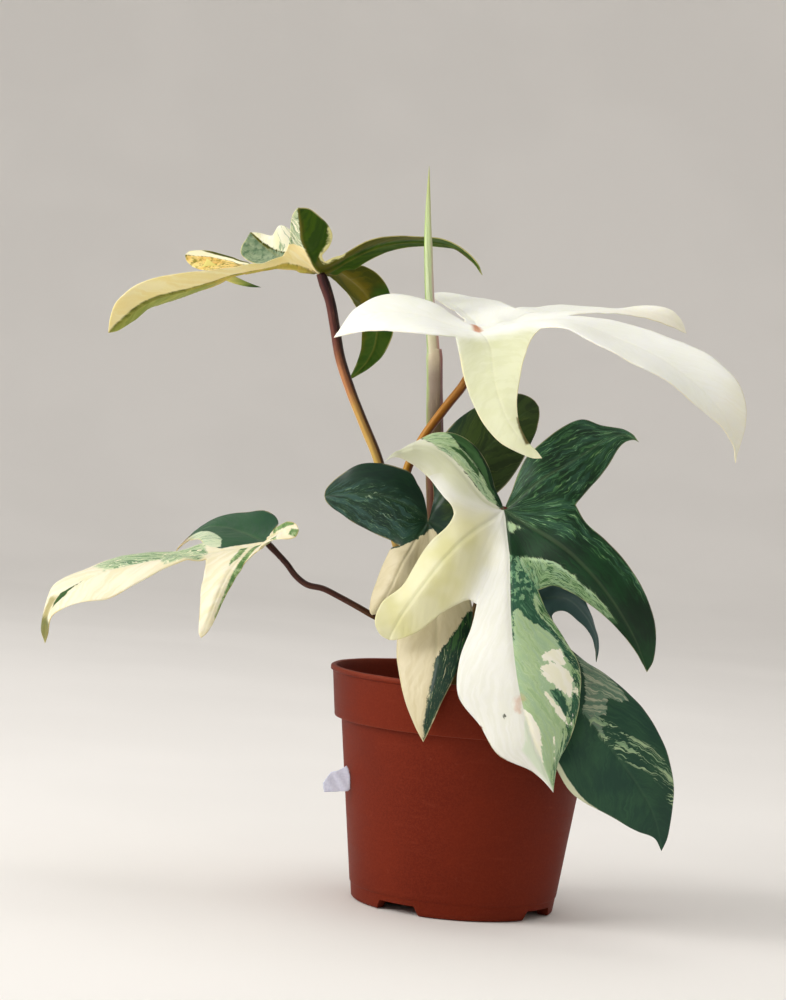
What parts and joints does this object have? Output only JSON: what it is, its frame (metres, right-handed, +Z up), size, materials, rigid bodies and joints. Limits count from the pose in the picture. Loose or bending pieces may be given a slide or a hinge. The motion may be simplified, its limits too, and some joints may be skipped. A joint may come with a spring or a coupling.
{
  "type": "potted florida beauty philodendron",
  "caption": "Young climbing philodendron with deeply lobed, cream and green variegated leaves on thin stalks, and a rolled new leaf, in a tapered terracotta-coloured nursery pot.",
  "frame": {"origin": "centre of the pot's underside, on the plane the pot stands on", "axes": "+Z up out of the pot; -Y towards the side the big front leaf faces; +X towards the side the white leaf reaches to"},
  "size_m": [0.2888, 0.1484, 0.3157],
  "materials": {
    "pot_plastic": "matt terracotta-coloured moulded plastic",
    "potting_mix": "damp bark and coir potting mix with perlite",
    "label_paper": "torn matt paper, bare",
    "stem_tissue": "olive and maroon stem, waxy",
    "sheath_tissue": "pinkish olive leaf sheath, waxy",
    "new_leaf_tissue": "pale mint green rolled leaf, satin",
    "stalk_purple": "dark purple leaf stalk, waxy",
    "stalk_maroon": "dark maroon leaf stalk, waxy",
    "stalk_orange": "orange-brown leaf stalk, waxy",
    "stalk_brown": "brown-green leaf stalk, waxy",
    "blade_olive_cream": "olive and cream variegated leaf, satin",
    "blade_mint_cream": "cream and mint variegated leaf, satin",
    "blade_white": "almost all white leaf, satin",
    "blade_mosaic": "dark green, mint and cream mosaic leaf, satin",
    "blade_tan_cream": "cream-tan leaf with dark green lobes, satin",
    "blade_dark": "dark green leaf with pale flecks, satin"
  },
  "bodies": {
    "root": {"leaf_blade_upper_left": "blade_olive_cream", "leaf_blade_lower_left": "blade_mint_cream", "leaf_blade_white": "blade_white", "leaf_blade_front": "blade_mosaic", "leaf_blade_middle": "blade_tan_cream", "leaf_blade_lower_right": "blade_dark", "nursery_pot": "pot_plastic", "potting_mix": "potting_mix", "main_stem": "stem_tissue", "new_leaf_sheath": "sheath_tissue", "rolled_new_leaf": "new_leaf_tissue", "stalk_upper_left": "stalk_purple", "stalk_lower_left": "stalk_maroon", "stalk_white": "stalk_orange", "stalk_front": "stalk_brown", "stalk_middle": "stalk_brown", "stalk_lower_right": "stalk_brown", "price_label": "label_paper"}
  },
  "joints": []
}
